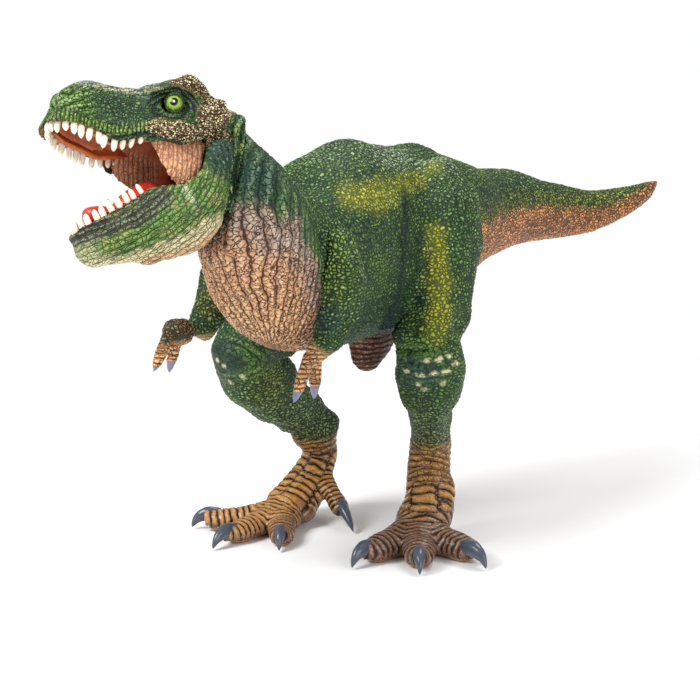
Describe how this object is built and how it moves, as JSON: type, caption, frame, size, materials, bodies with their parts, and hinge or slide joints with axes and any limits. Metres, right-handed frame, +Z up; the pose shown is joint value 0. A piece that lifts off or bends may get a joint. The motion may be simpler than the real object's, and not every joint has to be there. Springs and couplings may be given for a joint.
{
  "type": "toy dinosaur figure",
  "caption": "Moulded toy figure of a striding two-legged meat-eating dinosaur, standing on its feet with a hinged jaw that opens wide over tooth rows and a tongue.",
  "frame": {"origin": "on the ground, under the middle of the figure's box", "axes": "+Z up, -Y the way the figure walks, +X its left side"},
  "size_m": [0.0946, 0.2754, 0.1445],
  "materials": {
    "skin": "airbrushed green over tan with a dark wash",
    "limb": "airbrushed green over ochre with a dark wash",
    "skull": "airbrushed green with a cream and brown brow",
    "jaw": "airbrushed green over pale tan",
    "lining": "satin orange-brown",
    "tongue": "satin coral red",
    "teeth": "satin cream white",
    "eye": "clear gloss",
    "pin": "plain"
  },
  "bodies": {
    "figure": {"torso": "skin", "tail": "skin", "left_leg": "limb", "right_leg": "limb", "left_arm": "limb", "right_arm": "limb", "head": "skull", "mouth_lining": "lining", "upper_teeth": "teeth", "jaw_pin": "pin", "left_eye": "eye", "right_eye": "eye"},
    "jaw": {"lower_jaw": "jaw", "lower_teeth": "teeth", "tongue": "tongue"}
  },
  "joints": [
    {"name": "jaw_hinge", "type": "hinge", "parent": "figure", "child": "jaw", "pos_m": [-0.00307, -0.10195, 0.1219], "axis": [-0.7638, 0.5731, -0.297], "range_deg": [0, 22]}
  ]
}
